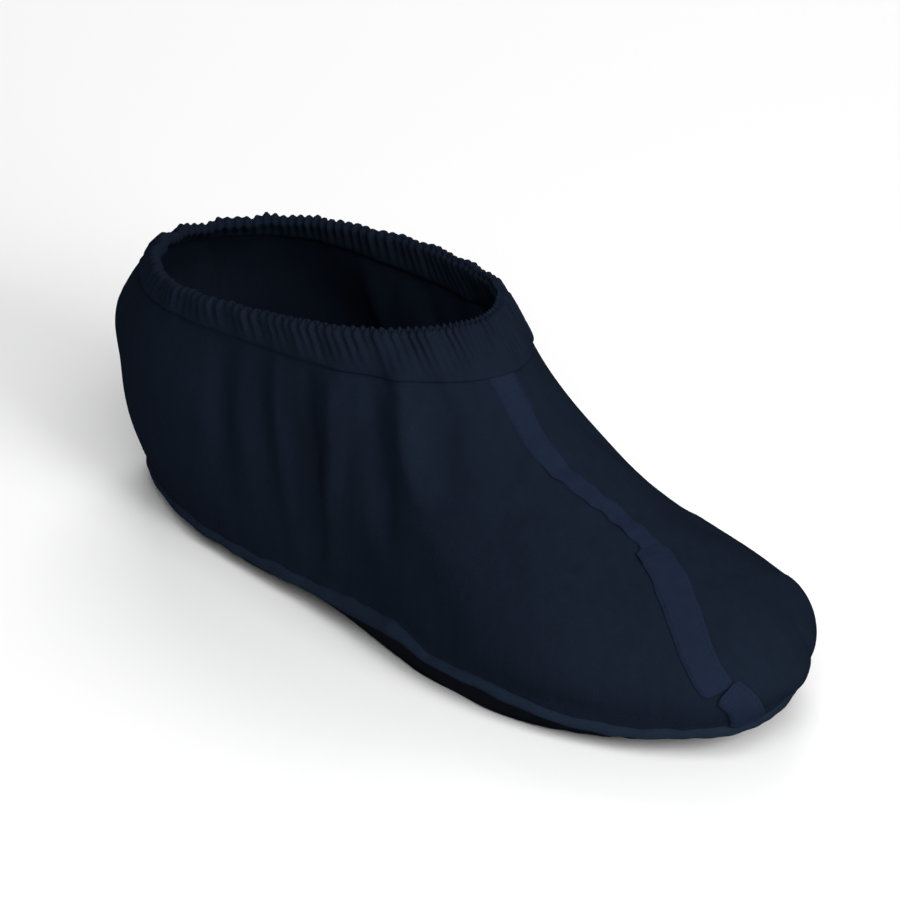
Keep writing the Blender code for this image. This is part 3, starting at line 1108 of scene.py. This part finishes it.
# The wave pattern turns through this many radians in a metre at a scale of 1, so one wave is this long.
WAVE_TURN = 20.0
WAVE = 2 * math.pi / WAVE_TURN
WEAVE_DEPTH = 0.15 * MM
# The dye is patchy, in streaks that run up the shoe with the threads.
MOTTLE_SIZE = 5.0 * MM
STREAK = 0.2


def add_node(tree, kind, values=None, links=None, **settings):
    """Adds a shader node with its settings, its input values and its links."""
    made = tree.nodes.new("ShaderNode" + kind)
    for name, value in settings.items():
        setattr(made, name, value)
    for name, value in (values or {}).items():
        made.inputs[name].default_value = value
    for name, source in (links or {}).items():
        tree.links.new(source, made.inputs[name])
    return made


def new_material(name, roughness, specular):
    """A material with a plain shader, and the tree and shader to add to."""
    material = bpy.data.materials.new(name)
    material.use_nodes = True
    tree = material.node_tree
    shader = tree.nodes["Principled BSDF"]
    shader.inputs["Roughness"].default_value = roughness
    shader.inputs["Specular IOR Level"].default_value = specular
    return material, tree, shader


def woven(name, dark, light, pitch, bump):
    """Woven cloth: two sets of threads, a pitch apart, cross as fine bumps, and the dye varies a little."""
    material, tree, shader = new_material(name, roughness=MATT, specular=0.0)
    flat_map = add_node(tree, "UVMap")
    warp, weft = [
        add_node(tree, "TexWave", {"Scale": WAVE / pitch, "Distortion": 0.6, "Detail": 1.0},
                 {"Vector": flat_map.outputs["UV"]}, bands_direction=way) for way in "XY"
    ]
    cross = add_node(tree, "Math", None, {0: warp.outputs["Fac"], 1: weft.outputs["Fac"]}, operation="ADD")
    place_on = add_node(tree, "TexCoord")
    stretched = add_node(tree, "Mapping", {"Scale": (1.0, 1.0, STREAK)},
                         {"Vector": place_on.outputs["Object"]})
    mottle = add_node(tree, "TexNoise", {"Scale": 1 / MOTTLE_SIZE, "Detail": 4.0, "Roughness": 0.6},
                      {"Vector": stretched.outputs["Vector"]})
    dye = add_node(tree, "Mix", {"A": linear(dark), "B": linear(light)}, {"Factor": mottle.outputs["Fac"]},
                   data_type="RGBA")
    height = add_node(tree, "Bump", {"Strength": bump, "Distance": WEAVE_DEPTH},
                      {"Height": cross.outputs["Value"]})
    tree.links.new(dye.outputs["Result"], shader.inputs["Base Color"])
    tree.links.new(height.outputs["Normal"], shader.inputs["Normal"])
    return material


# The threads of such cloth are about 0.3 mm apart. That is too fine to draw here, so the weaves are coarser.
# Plain-woven polyester: fine crossed threads that take the shine off it, with faint streaks in the dye.
navy_cloth = woven("navy woven polyester", "10161e", "151c29", pitch=1.1 * MM, bump=0.25)
# Narrow woven tape: heavier ribs along its length and a paler, more violet dye.
pale_tape = woven("woven seam tape", "151c2b", "182030", pitch=1.3 * MM, bump=0.35)
# Bias-cut binding: the same kind of cloth, painted paler than it as painted light falling on the rolled seam,
# so it reads as a light line.
binding_painted_light = woven("bias binding with painted light", "171f2b", "1a2331", pitch=1.1 * MM, bump=0.25)
# Spun polyester thread: dyed to match, a trace brighter.
thread_dye = woven("dyed sewing thread", "121822", "171e2b", pitch=0.5 * MM, bump=0.2)
print("woven", [m.name for m in (navy_cloth, pale_tape, binding_painted_light, thread_dye)])

# %% [markdown]
# ## Coated cloth and paper
#
# The sole is cloth with a thin coat of rubber, so no threads show. It is nearly black, a little smoother
# than the rest, and grained like fine leather. Noise gives both the grain and the faint scuffs of a floor.
# It reads the object's own coordinates, because the sole has no flat map. The floor of the studio is plain
# matt paper.

# %% Coated cloth and paper
SCUFF_SIZE = 12.0 * MM
GRAIN_SIZE = 1.1 * MM
GRAIN_DEPTH = 0.2 * MM

# Rubber-coated cloth: nearly black and a little smoother, with a fine grain and faint scuffs from the floor.
coated, tree, shader = new_material("rubber-coated cloth", roughness=0.8, specular=0.02)
place_on = add_node(tree, "TexCoord")
scuffs, grain = [
    add_node(tree, "TexNoise", {"Scale": 1 / size, "Detail": detail}, {"Vector": place_on.outputs["Object"]})
    for size, detail in ((SCUFF_SIZE, 5.0), (GRAIN_SIZE, 3.0))
]
worn = add_node(tree, "Mix", {"A": linear("06080e"), "B": linear("0a0e16")},
                {"Factor": scuffs.outputs["Fac"]}, data_type="RGBA")
rough = add_node(tree, "Bump", {"Strength": 0.4, "Distance": GRAIN_DEPTH}, {"Height": grain.outputs["Fac"]})
tree.links.new(worn.outputs["Result"], shader.inputs["Base Color"])
tree.links.new(rough.outputs["Normal"], shader.inputs["Normal"])

# Matt studio paper: pale and even.
paper, tree, shader = new_material("pale studio paper", roughness=MATT, specular=0.1)
shader.inputs["Base Color"].default_value = linear("f0f0f0")
print("plain", [m.name for m in (coated, paper)])

# %% [markdown]
# ## Each piece gets its material
#
# A piece could be given its material where it is made. One list at the end shows at a glance which cloth
# goes where: the collar is bound in the upper's own cloth, and both threads share one dye.

# %% Materials on the pieces
# The binding's paler colour is painted light, where light from above catches the rolled seam.
for piece, material in (
    (cloth, navy_cloth), (tape, pale_tape), (lip, binding_painted_light), (collar, navy_cloth),
    (sole, coated), (tape_thread, thread_dye), (seam_thread, thread_dye), (floor, paper),
):
    piece.data.materials.clear()
    piece.data.materials.append(material)
    print(piece.name, "has", material.name)
